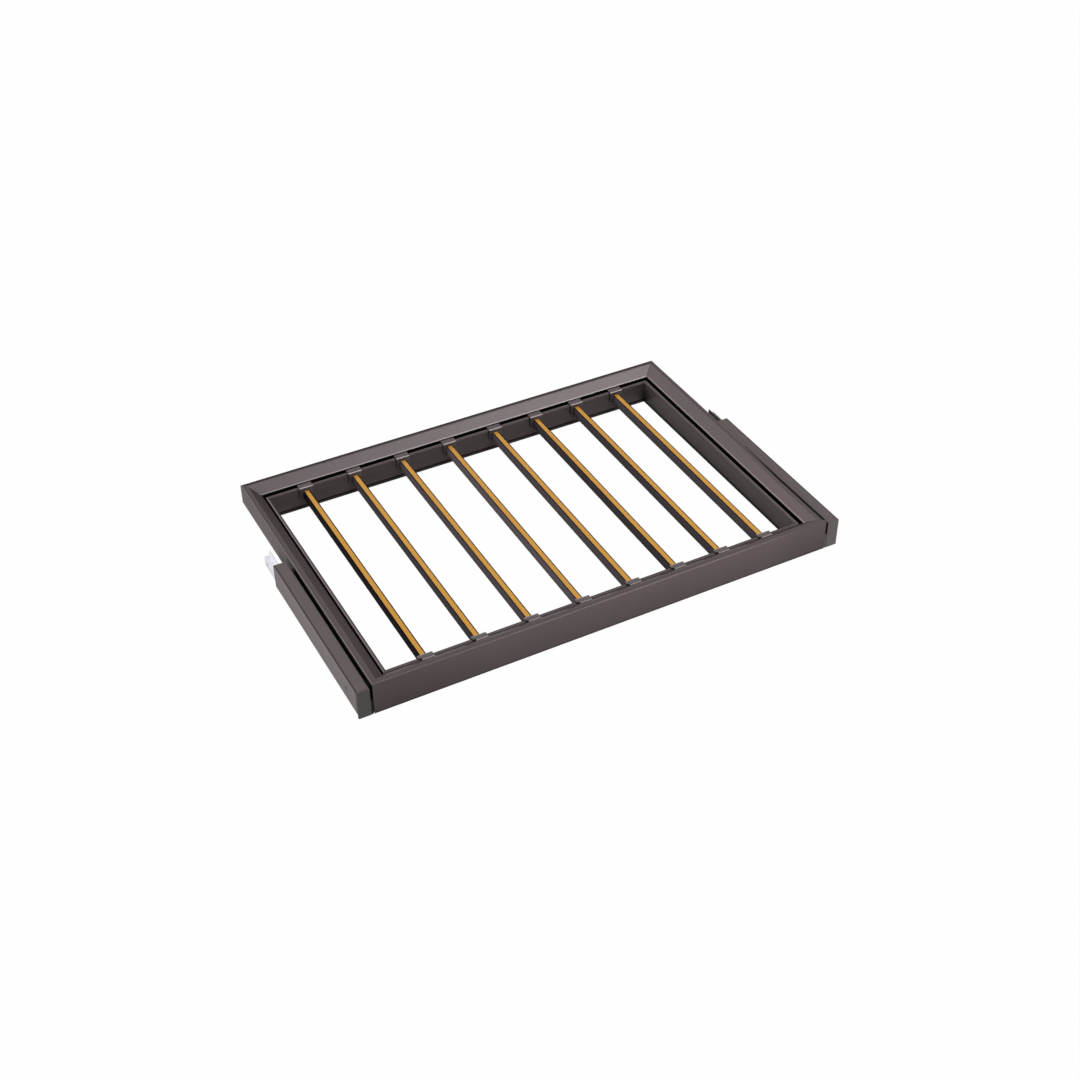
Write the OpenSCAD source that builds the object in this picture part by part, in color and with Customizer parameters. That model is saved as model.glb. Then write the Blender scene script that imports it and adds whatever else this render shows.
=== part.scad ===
// Pull-out trouser rack for a wardrobe.
// A mitred frame of grooved rails carries hollow trouser bars on hook-in holders.
// It runs on two three-member ball slides whose covers screw to the wardrobe sides.
// +Z is up, the front faces -Y, and the origin is under the middle of the rack.

/* [Frame] */
// Width of the frame over its side rails
frame_w = 719; // [640:1:920]
// Depth of the frame from front to back
frame_d = 490; // [460:1:560]
// Height of the rails
rail_h = 52; // [50:0.5:60]
// Wall thickness of the rails
rail_wall = 1.8; // [1.4:0.1:2.2]
// Gap left at each mitred joint
mitre_gap = 0.1; // [0.05:0.05:0.3]

/* [Rail section] */
// Width of the flat band along the outer edge
band_w = 8; // [6:0.5:10]
// Width of the face that slopes down to the groove
slope_w = 16; // [14:0.5:18]
// Height lost along the sloping face
slope_drop = 12.5; // [10:0.5:14]
// Width of the holder groove
groove_w = 3.2; // [2.8:0.1:4]
// Width of the lip between the groove and the inner edge
lip_w = 5.8; // [4.6:0.1:8]
// Depth of the holder groove under its lip
groove_depth = 10; // [8.5:0.5:12]
// Step from the end of the slope down to the lip
lip_step = 2.3; // [1.5:0.1:3]
// Radius of the outer top edge and of the lip edge
edge_r = 1.5; // [0.8:0.1:2]
// Radius between the flat band and the sloping face
band_r = 2; // [1:0.5:4]
// Radius of the edge between the sloping face and the groove
slope_edge_r = 0.6; // [0.3:0.1:0.8]
// Height of the step under the side and rear rails
step_h = 20; // [16:0.5:21]
// Width of the step under the side and rear rails
step_w = 14; // [8:0.5:15]

/* [Trouser bars] */
// Middle of the first bar from the left side of the frame
first_bar_x = 90.5; // [75:0.5:110]
// Middle of the last bar from the right side of the frame
last_bar_x = 88; // [75:0.5:110]
// How much wider the left-hand gaps are than the right-hand ones
pitch_step = 6.5; // [0:0.5:8]
// Width of a bar
bar_w = 10; // [9:0.5:12]
// Height of a bar
bar_h = 17.5; // [16:0.5:20]
// Wall thickness of a bar
bar_wall = 1.2; // [1:0.1:1.4]
// Radius of the lower edges of a bar
bar_r = 3.5; // [2:0.5:4]
// Height of the bar tops above the bottom of the rack
bar_top = 32; // [31:0.5:33]

/* [Grip strips] */
// Visible width of a grip strip
strip_w = 6.6; // [5.5:0.1:7]
// Depth of the channel that holds the strip
strip_depth = 1.6; // [1.4:0.1:2]
// How far the strip stands out of the bar
strip_rise = 0.5; // [0.2:0.1:1]
// Height of the strip's wider foot
strip_foot_h = 0.8; // [0.6:0.1:0.9]
// How far the foot reaches under each channel edge
strip_foot_reach = 0.4; // [0.2:0.05:0.4]

/* [Bar holders] */
// Width of a holder
holder_w = 22; // [18:0.5:26]
// Thickness of a holder's top plate
holder_top_t = 1.8; // [1.4:0.1:2.2]
// Thickness of a holder's upright plate
holder_face_t = 2.3; // [2:0.1:3]
// How far the upright plate reaches below the lip
holder_drop = 15.2; // [14.5:0.1:18]
// Thickness of the hook in the groove
hook_t = 2; // [1.6:0.1:2.2]
// Length of the hook below the lip
hook_len = 8; // [6:0.5:8]

/* [Slides] */
// Length of a slide
slide_len = 270; // [265:1:274]
// Distance from the front of the rack to the front of a slide
slide_setback = 22; // [20:0.5:26]
// Travel of the rack
travel = 260; // [200:1:260]
// Height of the middle of the slides
slide_z = 26; // [25:0.5:27]
// Thickness of a slide from side to side
slide_t = 12.7; // [12.7:0.1:13.5]
// Sheet thickness of the slide members
slide_sheet = 1.2; // [1:0.1:1.3]
// Radius of the balls
ball_r = 1.6; // [1.5:0.05:1.65]
// Clearance between a ball and its race
ball_fit = 0.05; // [0.02:0.01:0.1]
// Height of the outer balls from the middle of a slide
outer_ball_z = 14.4; // [14.2:0.1:14.6]
// Height of the inner balls from the middle of a slide
inner_ball_z = 10; // [9.8:0.1:10.2]
// Length of a ball cage
cage_len = 95; // [94:1:100]
// Distance between two balls
ball_pitch = 21; // [18:0.5:21]
// Clearance at both ends of the slide's moving members
slide_end_gap = 1; // [0.5:0.1:2]

/* [Covers and brackets] */
// Width taken by a slide and its cover beside the frame
side_w = 22.5; // [22:0.1:24]
// Gap between a cover and the frame
cover_gap = 3.8; // [2:0.1:4]
// Length from the front of the rack to the rear end of a cover
cover_len = 296.5; // [270:0.5:300]
// Height of the top of a cover
cover_top = 45.5; // [45.3:0.1:47]
// Height of a cover's side wall
cover_h = 38.6; // [37.8:0.1:42]
// Wall thickness of a cover
cover_wall = 1.6; // [1.2:0.1:1.7]
// Width of the flange along the bottom of a cover
cover_flange = 5; // [3:0.5:6]
// Sheet thickness of the slide bracket
bracket_t = 1.5; // [1.2:0.1:2]
// How far the bracket reaches behind the slide
bracket_tail = 43; // [40:1:50]
// Half height of the bracket's channel
bracket_channel = 8; // [7:0.5:9]
// Half height of the bracket over its flanges
bracket_half_h = 16; // [15:0.5:16.5]

/* [Corner keys] */
// Length of a key's legs from the corner of the frame
key_len = 60; // [50:1:80]
// Clearance around a key
key_fit = 0.15; // [0.05:0.05:0.3]
// Distance from the corner of the frame to a corner screw
key_screw_pos = 48; // [42:0.5:52]
// Wall thickness of a key
key_wall = 3; // [2:0.5:4]

/* [End caps] */
// Thickness of an end cap's front plate
cap_t = 2.5; // [2:0.1:4]
// Clearance between an end cap and its cover
cap_fit = 0.2; // [0.1:0.1:0.5]
// Clearance between an end cap and the side of the wardrobe
cap_side_gap = 0.3; // [0.2:0.1:1]
// Thickness of the foot that carries an end cap
foot_t = 6; // [4:0.5:7]
// Height of the foot
foot_h = 22; // [20:0.5:23]

/* [Fasteners] */
// Diameter of the wall screw holes
wall_hole_d = 4.5; // [4:0.1:5.5]
// Distance between the two wall screw holes of a side
wall_hole_pitch = 288; // [286:1:290]
// Distance from the front of the rack to the first wall screw hole
wall_hole_front = 37; // [34:1:38]
// Shank diameter of the small screws
screw_d = 3.5; // [3:0.1:3.9]
// Head diameter of the countersunk screws
csk_head_d = 6.7; // [6:0.1:6.9]
// Clearance around a screw
screw_fit = 0.05; // [0.02:0.01:0.1]
// Shank diameter of the slide screws
pan_screw_d = 4; // [3.5:0.1:4.2]
// Head diameter of the slide screws
pan_head_d = 7.6; // [7:0.1:8]
// Head height of the slide screws
pan_head_h = 2; // [1.6:0.1:2.2]
// Diameter of the rivets
rivet_d = 3; // [2.4:0.1:3.2]

/* [Hidden] */
$fn = 48;
cut = 1;
bar_count = 8;

// Places across a rail, measured inwards from its outer side
slope_end = band_w + slope_w;
groove_end = slope_end + groove_w;
rail_w = groove_end + lip_w;
chamber_u = step_w + rail_wall;
chamber_mid = (chamber_u + rail_w - rail_wall) / 2;

// Heights of the rail section
slope_z = rail_h - slope_drop;
lip_z = slope_z - lip_step;
groove_floor = lip_z - groove_depth;
slope_rise = slope_drop / slope_w;
slope_angle = atan(slope_rise);
band_turn = band_r * tan(slope_angle / 2);
slope_turn = slope_edge_r * tan((90 - slope_angle) / 2);
slope_wall = rail_wall * sqrt(1 + slope_rise * slope_rise);
mitre_trim = mitre_gap * sqrt(2) / 2;

// Trouser bars
holder_end = rail_w + holder_face_t;
bar_span = frame_w - first_bar_x - last_bar_x;
wide_gaps = 4;
narrow_pitch = (bar_span - wide_gaps * pitch_step) / (bar_count - 1);
boss_r = screw_d / 2 + screw_fit;
boss_z = bar_top - strip_depth - bar_wall - boss_r;
bar_screw_len = 16;
strip_fit = 0.05;
strip_r = 0.4;

// Bar holders
holder_fit = 0.3;
holder_r = 1.2;
hook_mid = slope_end + groove_w / 2;

// Countersunk screws
csk_h = (csk_head_d - screw_d) / 2;
head_sink = 0.1;
corner_screw_len = 12;

// Slide section, measured from the back of the outer member towards the frame
cage_sheet = 0.6;
cage_gap = 0.3;
cage_flange_t = 1;
race_r = ball_r + ball_fit;
race_flat = 1.2;
middle_x = slide_sheet + cage_sheet + 2 * cage_gap;
inner_x = middle_x + slide_sheet + cage_sheet + 2 * cage_gap;
ball_x = inner_x + race_r + slide_sheet;
flange_reach = ball_x + race_r + slide_sheet;
inner_flange_t = 1.6;
outer_flat_z = outer_ball_z + race_flat;
outer_half_h = outer_flat_z + slide_sheet;
middle_half_h = outer_ball_z - race_flat;
middle_flange_z = inner_ball_z + race_flat;
inner_half_h = inner_ball_z - race_flat;
cage_reach = ball_x + ball_r + slide_sheet - cage_gap;
pocket_r = ball_r + 0.1;

// Places along a slide, measured from the front of the rack
slide_end = slide_setback + slide_len;
slide_mid = slide_setback + slide_len / 2;
bumper_t = 8;
member_end = slide_end - bumper_t - slide_end_gap;
cage_front = slide_mid - cage_len / 2;
ball_count = floor((cage_len - 4 * ball_r) / ball_pitch) + 1;
first_ball = slide_mid - (ball_count - 1) * ball_pitch / 2;
access_hole_r = 5;
wall_holes = [wall_hole_front, wall_hole_front + wall_hole_pitch];
slide_screw_inset = 35;
slide_screws_at = [slide_setback + slide_screw_inset, slide_mid, member_end - slide_screw_inset];
slide_screw_grip = 3;
rivet_inset = 25;
rivets_at = [slide_setback + rivet_inset, slide_mid, slide_end - rivet_inset];
bracket_end = slide_end + bracket_tail;
pad_gap = 0.5;

// Places beside the frame, measured from the wardrobe side inwards
slide_back = side_w - slide_t;
cover_w = side_w - cover_gap;
cover_bottom = cover_top - cover_h;
cover_r = 1;
rivet_z = (bracket_channel + bracket_half_h) / 2;
rivet_sink = 0.8;
bumper_half_h = 8;
peg_r = 2;

// End caps
foot_z = step_h + 0.5;
foot_front = cap_t + 5.5;
foot_back = slide_setback - 0.5;
foot_mid = (foot_front + foot_back) / 2;
foot_screw_inset = 5.5;
foot_screws_at = [foot_z + foot_screw_inset, foot_z + foot_h - foot_screw_inset];
gusset_t = 1.5;
gusset_x = 3;
apron_t = 2;
apron_gap = 0.3;
apron_lap = 2;
apron_reach = 2;
web_sink = 0.6;
web_rise = 4.5;

numbers = [for (i = [1:bar_count]) i];
hands = ["left", "right"];

mocha = [0.33, 0.29, 0.28];
mocha_light = [0.40, 0.36, 0.35];
bar_grey = [0.22, 0.21, 0.24];
amber = [0.82, 0.60, 0.22];
steel = [0.66, 0.67, 0.69];
slide_black = [0.07, 0.07, 0.075];
pale_zinc = [0.82, 0.81, 0.83];
plastic = [0.12, 0.12, 0.13];

function bar_x(i) =
    -frame_w / 2 + first_bar_x
    + (i - 1) * narrow_pitch
    + min(i - 1, wide_gaps) * pitch_step;

// Mirrors a piece drawn for the left side when the right one is wanted
module on_side(hand) {
    if (hand == "right") mirror([1, 0, 0]) children();
    else children();
}

// Runs a section drawn in X and Z from one distance behind the front to another
module run(from, to) {
    translate([0, to - frame_d / 2, 0])
        rotate([90, 0, 0])
        linear_extrude(to - from)
        children();
}

// Moves a section drawn from the wardrobe side inwards to the left side of the rack
module beside_frame() {
    translate([-frame_w / 2 - side_w, 0]) children();
}

// Moves a section drawn on the slide's own middle line to the left slide
module on_slide() {
    translate([-frame_w / 2 - slide_t, slide_z]) children();
}

// Draws a shape above the middle line and again below it
module above_and_below() {
    children();
    mirror([0, 1]) children();
}

// A countersunk screw along +Z with its head at the bottom, or the hole for it
module csk_screw(length, grow = 0) {
    cylinder(h = csk_h + grow, d1 = csk_head_d + 2 * grow, d2 = screw_d);
    cylinder(h = length, d = screw_d + 2 * grow);
    if (grow > 0) translate([0, 0, -cut]) cylinder(h = cut, d = csk_head_d + 2 * grow);
}

// Rail section: u runs inwards from the outer side, z upwards from the bottom
module rail_outline(tall_face) {
    polygon([
        [step_w, step_h],
        [step_w, 0],
        [rail_w, 0],
        [rail_w, lip_z - edge_r],
        [rail_w - edge_r, lip_z - edge_r],
        [rail_w - edge_r, lip_z],
        [slope_end, lip_z],
        [slope_end, slope_z - slope_turn],
        [slope_end - slope_edge_r, slope_z - slope_turn],
        [slope_end - slope_turn * cos(slope_angle), slope_z + slope_turn * sin(slope_angle)],
        [band_w + band_turn * cos(slope_angle), rail_h - band_turn * sin(slope_angle)],
        [band_w - band_turn, rail_h - band_r],
        [band_w - band_turn, rail_h],
        [edge_r, rail_h],
        [edge_r, rail_h - edge_r],
        [0, rail_h - edge_r],
        [0, step_h]
    ]);
    translate([edge_r, rail_h - edge_r]) circle(edge_r);
    translate([band_w - band_turn, rail_h - band_r]) circle(band_r);
    translate([slope_end - slope_edge_r, slope_z - slope_turn]) circle(slope_edge_r);
    translate([rail_w - edge_r, lip_z - edge_r]) circle(edge_r);
    if (tall_face) square([rail_wall, step_h + rail_wall]);
}

module rail_chambers() {
    inner_slope_u = band_w - (slope_wall - rail_wall) / slope_rise;
    polygon([
        [rail_wall, step_h + rail_wall],
        [rail_w - rail_wall, step_h + rail_wall],
        [rail_w - rail_wall, lip_z - rail_wall],
        [groove_end + rail_wall, lip_z - rail_wall],
        [groove_end + rail_wall, groove_floor - rail_wall],
        [slope_end - rail_wall, groove_floor - rail_wall],
        [slope_end - rail_wall, slope_z - slope_wall + rail_wall * slope_rise],
        [inner_slope_u, rail_h - rail_wall],
        [rail_wall, rail_h - rail_wall]
    ]);
    translate([chamber_u, rail_wall])
        square([rail_w - rail_wall - chamber_u, step_h - rail_wall]);
}

module rail_section(tall_face) {
    difference() {
        rail_outline(tall_face);
        rail_chambers();
        translate([slope_end, groove_floor]) square([groove_w, groove_depth + cut]);
    }
}

// Plan of what a mitre cuts off at the +X end of a rail, outer side on y = 0
module mitre_plan(length) {
    end = length / 2 - mitre_trim;
    polygon([
        [end + cut, -cut],
        [end + rail_w + cut, -cut],
        [end + rail_w + cut, rail_w + cut],
        [end - rail_w - cut, rail_w + cut]
    ]);
}

module mitre_cuts(length) {
    translate([0, 0, -cut])
        linear_extrude(rail_h + 2 * cut) {
            mitre_plan(length);
            mirror([1, 0]) mitre_plan(length);
        }
}

// A rail along X with its outer side on y = 0 and a screw hole near each end
module rail(length, tall_face = false) {
    difference() {
        translate([-length / 2, 0, 0])
            rotate([90, 0, 90])
            linear_extrude(length)
            rail_section(tall_face);
        mitre_cuts(length);
        for (x = [-1, 1] * (length / 2 - key_screw_pos))
            translate([x, chamber_mid, head_sink]) csk_screw(rail_wall + cut, screw_fit);
    }
}

module front_rail() {
    color(mocha) translate([0, -frame_d / 2, 0]) rail(frame_w, tall_face = true);
}

module rear_rail() {
    color(mocha) translate([0, frame_d / 2, 0]) rotate([0, 0, 180]) rail(frame_w);
}

// The left rail, with holes for the slide and for the foot of the end cap
module side_rail() {
    difference() {
        translate([-frame_w / 2, 0, 0]) rotate([0, 0, -90]) rail(frame_d);
        for (y = slide_screws_at)
            translate([-frame_w / 2 - cut, y - frame_d / 2, slide_z])
            rotate([0, 90, 0])
            cylinder(h = rail_wall + 2 * cut, d = pan_screw_d + 2 * screw_fit);
        for (z = foot_screws_at)
            translate([-frame_w / 2 - cut, foot_mid - frame_d / 2, z])
            rotate([0, 90, 0])
            cylinder(h = rail_wall + 2 * cut, d = screw_d + 2 * screw_fit);
    }
}

module left_rail() {
    color(mocha) side_rail();
}

module right_rail() {
    color(mocha) on_side("right") side_rail();
}

// Repeats a piece drawn in the front left corner in all four corners
module in_four_corners() {
    for (x = [0, 1])
        for (y = [0, 1])
            if (x + y == 0) children();
            else if (x == 0) mirror([0, 1, 0]) children();
            else if (y == 0) mirror([1, 0, 0]) children();
            else rotate([0, 0, 180]) children();
}

module key_plan(wall) {
    low = chamber_u + key_fit + wall;
    high = rail_w - rail_wall - key_fit - wall;
    far = key_len - wall;
    polygon([[low, low], [far, low], [far, high], [high, high], [high, far], [low, far]]);
}

// One key: an L with a pocket from above, and a drilled floor
module corner_key() {
    floor_z = rail_wall + key_fit;
    top_z = step_h - key_fit;
    difference() {
        translate([0, 0, floor_z]) linear_extrude(top_z - floor_z) key_plan(0);
        translate([0, 0, top_z - 2 * key_wall])
            linear_extrude(2 * key_wall + cut)
            key_plan(key_wall);
        for (at = [[key_screw_pos, chamber_mid], [chamber_mid, key_screw_pos]])
            translate([at.x, at.y, 0]) cylinder(h = top_z + cut, r = boss_r);
    }
}

module corner_keys() {
    color(steel)
        in_four_corners()
        translate([-frame_w / 2, -frame_d / 2, 0])
        corner_key();
}

module corner_screws() {
    color(steel)
        in_four_corners()
        translate([-frame_w / 2, -frame_d / 2, head_sink])
        for (at = [[key_screw_pos, chamber_mid], [chamber_mid, key_screw_pos]])
            translate([at.x, at.y, 0]) csk_screw(corner_screw_len);
}

// Outer shape of a bar, or with a wall given, the space inside that wall
module bar_outline(wall = 0) {
    corner = bar_w / 2 - bar_r;
    top = bar_h - (wall > 0 ? strip_depth + wall : 0);
    translate([-bar_w / 2 + wall, bar_r]) square([bar_w - 2 * wall, top - bar_r]);
    translate([-corner, wall]) square([2 * corner, bar_r - wall + bar_wall]);
    for (x = [-corner, corner])
        translate([x, bar_r]) circle(bar_r - wall);
}

module strip_channel(grow) {
    half = strip_w / 2 + grow;
    translate([-half, bar_h - strip_depth]) square([2 * half, strip_depth + cut]);
    translate([-half - strip_foot_reach, bar_h - strip_depth])
        square([2 * (half + strip_foot_reach), strip_foot_h + grow]);
}

module bar_section() {
    boss_y = boss_z - bar_top + bar_h;
    difference() {
        bar_outline();
        strip_channel(strip_fit);
        difference() {
            bar_outline(bar_wall);
            translate([0, boss_y]) circle(boss_r + bar_wall);
            translate([-bar_w / 2, boss_y - bar_wall / 2]) square([bar_w, bar_wall]);
        }
        translate([0, boss_y]) circle(boss_r);
    }
}

// Runs a bar section between the front and the rear holder of bar i
module along_bar(i) {
    translate([bar_x(i), 0, 0])
        run(holder_end, frame_d - holder_end)
        translate([0, bar_top - bar_h])
        children();
}

module trouser_bar(i) {
    color(bar_grey) along_bar(i) bar_section();
}

module strip_section() {
    low = bar_h - strip_depth;
    high = bar_h + strip_rise;
    foot = strip_w / 2 + strip_foot_reach;
    translate([-foot, low]) square([2 * foot, strip_foot_h]);
    translate([-strip_w / 2, low]) square([strip_w, high - strip_r - low]);
    translate([-strip_w / 2 + strip_r, low]) square([strip_w - 2 * strip_r, high - low]);
    for (x = [-1, 1] * (strip_w / 2 - strip_r))
        translate([x, high - strip_r]) circle(strip_r);
}

module grip_strip(i) {
    color(amber) along_bar(i) strip_section();
}

// Holder section: top plate on the lip, hook in the groove, upright plate on the inner side
module holder_section() {
    plate_u = slope_end + holder_fit;
    top = lip_z + holder_top_t;
    translate([plate_u, lip_z]) square([holder_end - holder_r - plate_u, holder_top_t]);
    translate([hook_mid - hook_t / 2, lip_z - hook_len]) square([hook_t, hook_len + holder_top_t]);
    translate([rail_w, lip_z - holder_drop])
        square([holder_face_t, holder_drop + holder_top_t - holder_r]);
    translate([holder_end - holder_r, top - holder_r]) circle(holder_r);
}

// The front holder of bar i, drilled for the screw into the bar
module holder(i) {
    difference() {
        translate([bar_x(i) - holder_w / 2, -frame_d / 2, 0])
            rotate([90, 0, 90])
            linear_extrude(holder_w)
            holder_section();
        translate([bar_x(i), rail_w + head_sink - frame_d / 2, boss_z])
            rotate([-90, 0, 0])
            csk_screw(holder_face_t + cut, screw_fit);
    }
}

module front_holder(i) {
    color(mocha_light) holder(i);
}

module rear_holder(i) {
    color(mocha_light) mirror([0, 1, 0]) holder(i);
}

module front_bar_screw(i) {
    translate([bar_x(i), rail_w + head_sink - frame_d / 2, boss_z])
        rotate([-90, 0, 0])
        csk_screw(bar_screw_len);
}

module bar_screws() {
    color(steel)
        for (i = numbers) {
            front_bar_screw(i);
            mirror([0, 1, 0]) front_bar_screw(i);
        }
}

// Outer slide member: a channel open to the frame, with a race in each flange
module outer_member_section() {
    translate([0, -outer_half_h]) square([slide_sheet, 2 * outer_half_h]);
    above_and_below()
        difference() {
            union() {
                translate([0, outer_flat_z]) square([flange_reach, slide_sheet]);
                intersection() {
                    translate([ball_x, outer_ball_z]) circle(race_r + slide_sheet);
                    translate([0, outer_flat_z]) square([flange_reach, outer_half_h]);
                }
            }
            translate([ball_x, outer_ball_z]) circle(race_r);
        }
}

// Middle slide member: its flanges carry the outer races above and the inner races below
module middle_member_section() {
    translate([middle_x, -middle_half_h]) square([slide_sheet, 2 * middle_half_h]);
    above_and_below()
        difference() {
            translate([middle_x, middle_flange_z])
                square([flange_reach - middle_x, middle_half_h - middle_flange_z]);
            translate([ball_x, outer_ball_z]) circle(race_r);
            translate([ball_x, inner_ball_z]) circle(race_r);
        }
}

// Inner slide member: a channel with its back on the side rail
module inner_member_section() {
    translate([slide_t - slide_sheet, -inner_half_h]) square([slide_sheet, 2 * inner_half_h]);
    above_and_below()
        difference() {
            translate([inner_x, inner_half_h - inner_flange_t])
                square([slide_t - inner_x, inner_flange_t]);
            translate([ball_x, inner_ball_z]) circle(race_r);
        }
}

// A round cut through a slide member from side to side
module slide_cut(y, r) {
    translate([-frame_w / 2 - slide_t - cut, y - frame_d / 2, slide_z])
        rotate([0, 90, 0])
        cylinder(h = slide_t + 2 * cut, r = r);
}

module outer_member(hand) {
    color(slide_black)
        on_side(hand)
        difference() {
            run(slide_setback, slide_end) on_slide() outer_member_section();
            slide_cut(wall_hole_front, access_hole_r);
            at_slide_rivets() slide_rivet_hole();
            slide_cut(slide_end - bumper_t / 2, peg_r + screw_fit);
        }
}

module middle_member(hand) {
    color(slide_black)
        on_side(hand)
        difference() {
            run(slide_setback + slide_end_gap, member_end) on_slide() middle_member_section();
            slide_cut(wall_hole_front + travel / 2, access_hole_r);
        }
}

module inner_member(hand) {
    color(slide_black)
        on_side(hand)
        difference() {
            run(slide_setback, member_end) on_slide() inner_member_section();
            for (y = slide_screws_at)
                slide_cut(y, pan_screw_d / 2 + screw_fit);
        }
}

// Cage section: a thin web and two flanges at the height of the balls
module cage_section(back, ball_z) {
    half = ball_z + cage_flange_t / 2;
    translate([back, -half]) square([cage_sheet, 2 * half]);
    above_and_below()
        translate([back, half - cage_flange_t])
        square([cage_reach - back, cage_flange_t]);
}

module at_balls(ball_z) {
    for (n = [0:ball_count - 1])
        for (z = [-ball_z, ball_z])
            translate([
                ball_x - frame_w / 2 - slide_t,
                first_ball + n * ball_pitch - frame_d / 2,
                slide_z + z
            ])
            children();
}

// A cage and its balls, each ball in a drilled pocket
module ball_cage(back, ball_z) {
    difference() {
        run(cage_front, cage_front + cage_len) on_slide() cage_section(back, ball_z);
        at_balls(ball_z)
            translate([0, 0, -cage_flange_t])
            cylinder(h = 2 * cage_flange_t, r = pocket_r);
    }
    at_balls(ball_z) sphere(ball_r);
}

module outer_cage(hand) {
    color(slide_black) on_side(hand) ball_cage(slide_sheet + cage_gap, outer_ball_z);
}

module inner_cage(hand) {
    color(slide_black) on_side(hand) ball_cage(middle_x + slide_sheet + cage_gap, inner_ball_z);
}

module slide_screws() {
    color(steel)
        for (hand = hands)
            on_side(hand)
            for (y = slide_screws_at)
                translate([-frame_w / 2 - slide_sheet - pan_head_h, y - frame_d / 2, slide_z])
                rotate([0, 90, 0]) {
                    cylinder(h = pan_head_h, d = pan_head_d);
                    cylinder(h = pan_head_h + slide_sheet + rail_wall + slide_screw_grip, d = pan_screw_d);
                }
}

// Places of the rivets, with +Z towards the frame and z = 0 on the bracket's face
module at_slide_rivets() {
    for (y = rivets_at)
        for (z = [-rivet_z, rivet_z])
            translate([-frame_w / 2 - slide_t, y - frame_d / 2, slide_z + z])
            rotate([0, 90, 0])
            children();
}

// A rivet, flush in the outer member and headed behind the bracket
module slide_rivet() {
    translate([0, 0, -bracket_t]) cylinder(h = bracket_t + slide_sheet, d = rivet_d);
    translate([0, 0, slide_sheet - rivet_sink])
        cylinder(h = rivet_sink, d1 = rivet_d, d2 = rivet_d + 2 * rivet_sink);
    translate([0, 0, -bracket_t - rivet_sink]) cylinder(h = rivet_sink, d = 2 * rivet_d);
}

module slide_rivet_hole() {
    hole_d = rivet_d + 2 * screw_fit;
    translate([0, 0, -bracket_t - cut])
        cylinder(h = bracket_t + slide_sheet + 2 * cut, d = hole_d);
    translate([0, 0, slide_sheet - rivet_sink])
        cylinder(h = rivet_sink + cut, d1 = hole_d, d2 = hole_d + 2 * (rivet_sink + cut));
}

module slide_rivets() {
    color(steel)
        for (hand = hands)
            on_side(hand) at_slide_rivets() slide_rivet();
}

// Hat section: its middle lies on the cover and its flanges carry the outer member
module bracket_section() {
    translate([cover_wall, -bracket_channel]) square([bracket_t, 2 * bracket_channel]);
    above_and_below() {
        translate([cover_wall, bracket_channel - bracket_t])
            square([slide_back - cover_wall, bracket_t]);
        translate([slide_back - bracket_t, bracket_channel - bracket_t])
            square([bracket_t, bracket_half_h - bracket_channel + bracket_t]);
    }
}

// The holes for the screws into the wardrobe side
module wall_hole_cuts() {
    for (y = wall_holes)
        translate([-frame_w / 2 - side_w - cut, y - frame_d / 2, slide_z])
        rotate([0, 90, 0])
        cylinder(h = cover_wall + bracket_t + 2 * cut, d = wall_hole_d);
}

// The bracket, with a pad behind the cover that brings its tail to the wardrobe side
module slide_bracket(hand) {
    color(hand == "left" ? pale_zinc : mocha)
        on_side(hand)
        difference() {
            union() {
                run(slide_setback, bracket_end)
                    beside_frame()
                    translate([0, slide_z])
                    bracket_section();
                run(cover_len + pad_gap, bracket_end)
                    beside_frame()
                    translate([0, slide_z - bracket_channel])
                    square([cover_wall + bracket_t, 2 * bracket_channel]);
            }
            wall_hole_cuts();
            at_slide_rivets() slide_rivet_hole();
        }
}

// Cover section: side wall, top with a rounded outer edge, and a flange along the bottom
module cover_section() {
    translate([0, cover_bottom]) square([cover_wall, cover_h - cover_r]);
    translate([cover_r, cover_top - cover_wall]) square([cover_w - cover_r, cover_wall]);
    translate([0, cover_bottom]) square([cover_flange, cover_wall]);
    translate([cover_r, cover_top - cover_r]) circle(cover_r);
    translate([cover_r, cover_top - cover_wall - cover_r]) square([cover_wall, cover_wall]);
}

module cover(hand) {
    color(mocha_light)
        on_side(hand)
        difference() {
            run(cap_t + cap_fit, cover_len) beside_frame() cover_section();
            wall_hole_cuts();
        }
}

// Places of the screws through the foot of an end cap, with +Z towards the frame
module at_cap_screws() {
    for (z = foot_screws_at)
        translate([head_sink - frame_w / 2 - foot_t, foot_mid - frame_d / 2, z])
        rotate([0, 90, 0])
        children();
}

// Front plate that closes the slide housing, on a foot screwed to the side rail,
// with a web that closes the gap beside the frame
module end_cap_shape() {
    foot_x = side_w - foot_t;
    run(cap_t, cap_t + apron_t)
        beside_frame()
        translate([cover_w - apron_lap, apron_gap])
        square([cover_gap + apron_lap + apron_reach, step_h - 2 * apron_gap]);
    run(web_sink, cap_t + apron_t)
        beside_frame()
        translate([cover_w - apron_lap, 0])
        square([cover_gap + apron_lap - apron_gap, foot_z + web_rise]);
    run(0, cap_t)
        beside_frame()
        translate([cap_side_gap, 0])
        square([cover_w - cap_side_gap, cover_top]);
    run(foot_front, foot_back)
        beside_frame()
        translate([foot_x, foot_z])
        square([foot_t, foot_h]);
    run(cap_t, foot_front)
        beside_frame()
        translate([foot_x, foot_z])
        square([cover_w - foot_x, foot_h]);
    run(cap_t, foot_front)
        beside_frame()
        for (z = [foot_z, foot_z + foot_h - gusset_t])
            translate([gusset_x, z]) square([foot_x - gusset_x, gusset_t]);
}

module end_cap(hand) {
    color(mocha_light)
        on_side(hand)
        difference() {
            end_cap_shape();
            at_cap_screws() csk_screw(foot_t + cut, screw_fit);
        }
}

module end_cap_screws() {
    color(steel)
        for (hand = hands)
            on_side(hand) at_cap_screws() csk_screw(foot_t + rail_wall + slide_screw_grip);
}

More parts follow.
